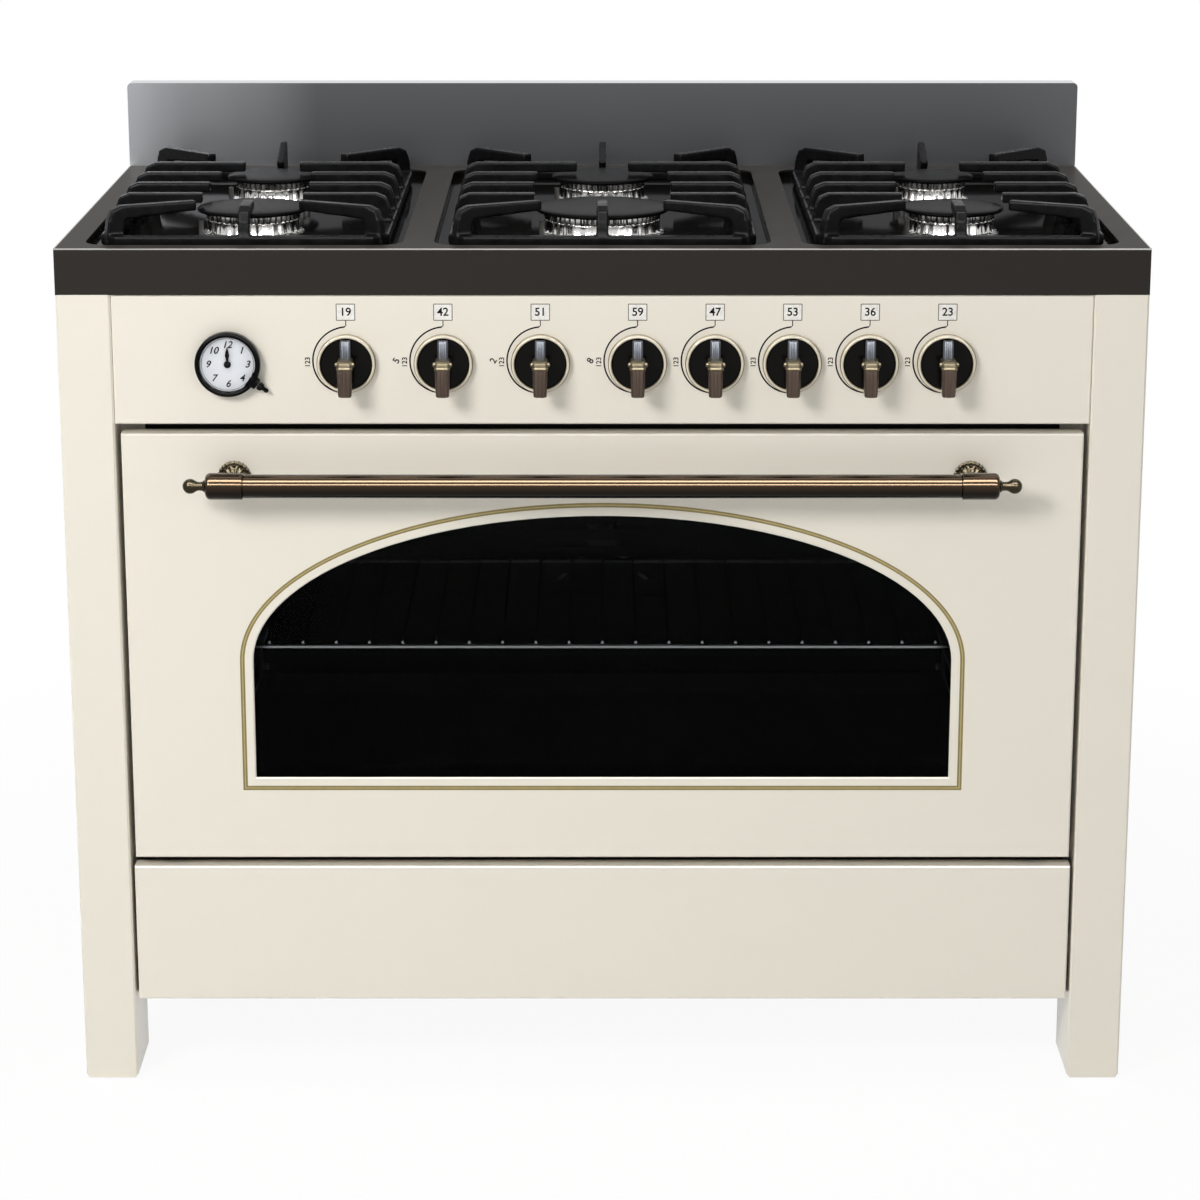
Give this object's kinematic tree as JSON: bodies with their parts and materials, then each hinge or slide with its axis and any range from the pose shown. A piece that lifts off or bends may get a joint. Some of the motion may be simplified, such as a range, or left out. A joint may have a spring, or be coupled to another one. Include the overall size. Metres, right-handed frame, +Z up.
{
  "type": "range cooker",
  "caption": "Freestanding range cooker with a gas hob under cast iron pan supports, one wide fan oven behind an arched window door, a storage drawer and lever knobs.",
  "frame": {"origin": "on the floor under the middle of the overall box", "axes": "+X to the right seen from the front, +Y from the front to the back, +Z up"},
  "size_m": [1.1, 0.6531, 0.991],
  "materials": {
    "enamel_cream": "gloss",
    "hob_enamel": "satin",
    "splash_steel": "satin",
    "cast_iron": "matt",
    "burner_cap_enamel": "satin",
    "burner_metal": "satin",
    "igniter_ceramic": "matt",
    "bezel_enamel": "gloss",
    "clock_glass": "clear",
    "clock_black": "satin",
    "bronze": "satin",
    "shaft_steel": "satin",
    "brass": "satin",
    "control_plastic": "matt",
    "galvanised": "satin",
    "terminal_plastic": "matt",
    "oven_enamel": "gloss",
    "seal_silicone": "matt",
    "mineral_wool": "matt",
    "element_steel": "satin",
    "wire_chrome": "polished",
    "dark_glass": "clear",
    "clear_glass": "clear",
    "inner_frame_enamel": "gloss",
    "handle_bronze": "satin"
  },
  "bodies": {
    "carcass": {"corner_posts": "enamel_cream", "levelling_feet": "galvanised", "side_panels": "enamel_cream", "back_panel": "galvanised", "base_panel": "galvanised", "terminal_box": "terminal_plastic", "hob_top": "hob_enamel", "hob_trays": "hob_enamel", "splashback": "splash_steel", "burner_cups": "burner_metal", "burner_crowns": "burner_metal", "burner_caps": "burner_cap_enamel", "igniters": "igniter_ceramic", "grate_left": "cast_iron", "grate_centre": "cast_iron", "grate_right": "cast_iron", "control_panel": "enamel_cream", "bezels": "bezel_enamel", "clock_glass": "clock_glass", "gas_rail": "brass", "oven_controls": "control_plastic", "oven_cavity": "oven_enamel", "oven_front_frame": "oven_enamel", "door_seal": "seal_silicone", "insulation": "mineral_wool", "heating_elements": "element_steel", "fan_motor": "control_plastic", "fan_cover": "oven_enamel", "rack_runners": "wire_chrome", "oven_rack": "wire_chrome", "baking_tray": "oven_enamel", "hinge_mounts": "galvanised", "drawer_rails": "galvanised"},
    "door": {"door_outer_panel": "enamel_cream", "door_outer_glass": "dark_glass", "door_inner_frame": "inner_frame_enamel", "door_inner_glass": "clear_glass", "door_hinge_arms": "galvanised", "handle_bar": "handle_bronze", "handle_ends": "handle_bronze", "handle_posts": "handle_bronze"},
    "drawer": {"drawer_front": "enamel_cream", "drawer_box": "enamel_cream"},
    "fan": {"fan_blade": "element_steel"},
    "clock_hand": {"clock_hand": "clock_black"},
    "clock_setter": {"clock_setter": "clock_black"},
    "knob_1": {"knob_1": "bronze"},
    "knob_2": {"knob_2": "bronze"},
    "knob_3": {"knob_3": "bronze"},
    "knob_4": {"knob_4": "bronze"},
    "knob_5": {"knob_5": "bronze"},
    "knob_6": {"knob_6": "bronze"},
    "knob_7": {"knob_7": "bronze"},
    "knob_8": {"knob_8": "bronze"},
    "spindle_1": {"tap_spindle_1": "shaft_steel"},
    "spindle_2": {"tap_spindle_2": "shaft_steel"},
    "spindle_3": {"tap_spindle_3": "shaft_steel"},
    "spindle_4": {"tap_spindle_4": "shaft_steel"},
    "spindle_5": {"tap_spindle_5": "shaft_steel"},
    "spindle_6": {"tap_spindle_6": "shaft_steel"}
  },
  "joints": [
    {"name": "door_hinge", "type": "hinge", "parent": "carcass", "child": "door", "pos_m": [0, -0.25525, 0.262], "axis": [1, 0, 0], "range_deg": [0, 90], "stiffness_Nm_per_rad": 15, "springref_deg": -11.46},
    {"name": "drawer_slide", "type": "slide", "parent": "carcass", "child": "drawer", "axis": [0, -1, 0], "range_m": [0, 0.33]},
    {"name": "fan_spin", "type": "hinge", "parent": "carcass", "child": "fan", "pos_m": [0, 0.18, 0.4775], "axis": [0, 1, 0], "continuous": true},
    {"name": "setter_turn", "type": "hinge", "parent": "carcass", "child": "clock_setter", "pos_m": [-0.3481, -0.27825, 0.75706], "axis": [0.8192, 0, -0.5736], "continuous": true},
    {"name": "hand_turn", "type": "hinge", "parent": "carcass", "child": "clock_hand", "pos_m": [-0.378, -0.2795, 0.778], "axis": [0, -1, 0], "continuous": true},
    {"name": "knob_1_turn", "type": "hinge", "parent": "carcass", "child": "knob_1", "pos_m": [-0.2585, -0.29, 0.778], "axis": [0, -1, 0], "range_deg": [0, 180]},
    {"name": "knob_2_turn", "type": "hinge", "parent": "carcass", "child": "knob_2", "pos_m": [-0.1605, -0.29, 0.778], "axis": [0, -1, 0], "range_deg": [0, 180]},
    {"name": "spindle_1_push", "type": "slide", "parent": "carcass", "child": "spindle_1", "axis": [0, 1, 0], "range_m": [0, 0.005], "stiffness_N_per_m": 800, "springref_m": -0.003},
    {"name": "knob_3_turn", "type": "hinge", "parent": "spindle_1", "child": "knob_3", "pos_m": [-0.0625, -0.29, 0.778], "axis": [0, -1, 0], "range_deg": [0, 180]},
    {"name": "spindle_2_push", "type": "slide", "parent": "carcass", "child": "spindle_2", "axis": [0, 1, 0], "range_m": [0, 0.005], "stiffness_N_per_m": 800, "springref_m": -0.003},
    {"name": "knob_4_turn", "type": "hinge", "parent": "spindle_2", "child": "knob_4", "pos_m": [0.0355, -0.29, 0.778], "axis": [0, -1, 0], "range_deg": [0, 180]},
    {"name": "spindle_3_push", "type": "slide", "parent": "carcass", "child": "spindle_3", "axis": [0, 1, 0], "range_m": [0, 0.005], "stiffness_N_per_m": 800, "springref_m": -0.003},
    {"name": "knob_5_turn", "type": "hinge", "parent": "spindle_3", "child": "knob_5", "pos_m": [0.1135, -0.29, 0.778], "axis": [0, -1, 0], "range_deg": [0, 180]},
    {"name": "spindle_4_push", "type": "slide", "parent": "carcass", "child": "spindle_4", "axis": [0, 1, 0], "range_m": [0, 0.005], "stiffness_N_per_m": 800, "springref_m": -0.003},
    {"name": "knob_6_turn", "type": "hinge", "parent": "spindle_4", "child": "knob_6", "pos_m": [0.1915, -0.29, 0.778], "axis": [0, -1, 0], "range_deg": [0, 180]},
    {"name": "spindle_5_push", "type": "slide", "parent": "carcass", "child": "spindle_5", "axis": [0, 1, 0], "range_m": [0, 0.005], "stiffness_N_per_m": 800, "springref_m": -0.003},
    {"name": "knob_7_turn", "type": "hinge", "parent": "spindle_5", "child": "knob_7", "pos_m": [0.2695, -0.29, 0.778], "axis": [0, -1, 0], "range_deg": [0, 180]},
    {"name": "spindle_6_push", "type": "slide", "parent": "carcass", "child": "spindle_6", "axis": [0, 1, 0], "range_m": [0, 0.005], "stiffness_N_per_m": 800, "springref_m": -0.003},
    {"name": "knob_8_turn", "type": "hinge", "parent": "spindle_6", "child": "knob_8", "pos_m": [0.3475, -0.29, 0.778], "axis": [0, -1, 0], "range_deg": [0, 180]}
  ],
  "couplings": [
    {"joint": "hand_turn", "follows": "setter_turn", "ratio": 1}
  ]
}
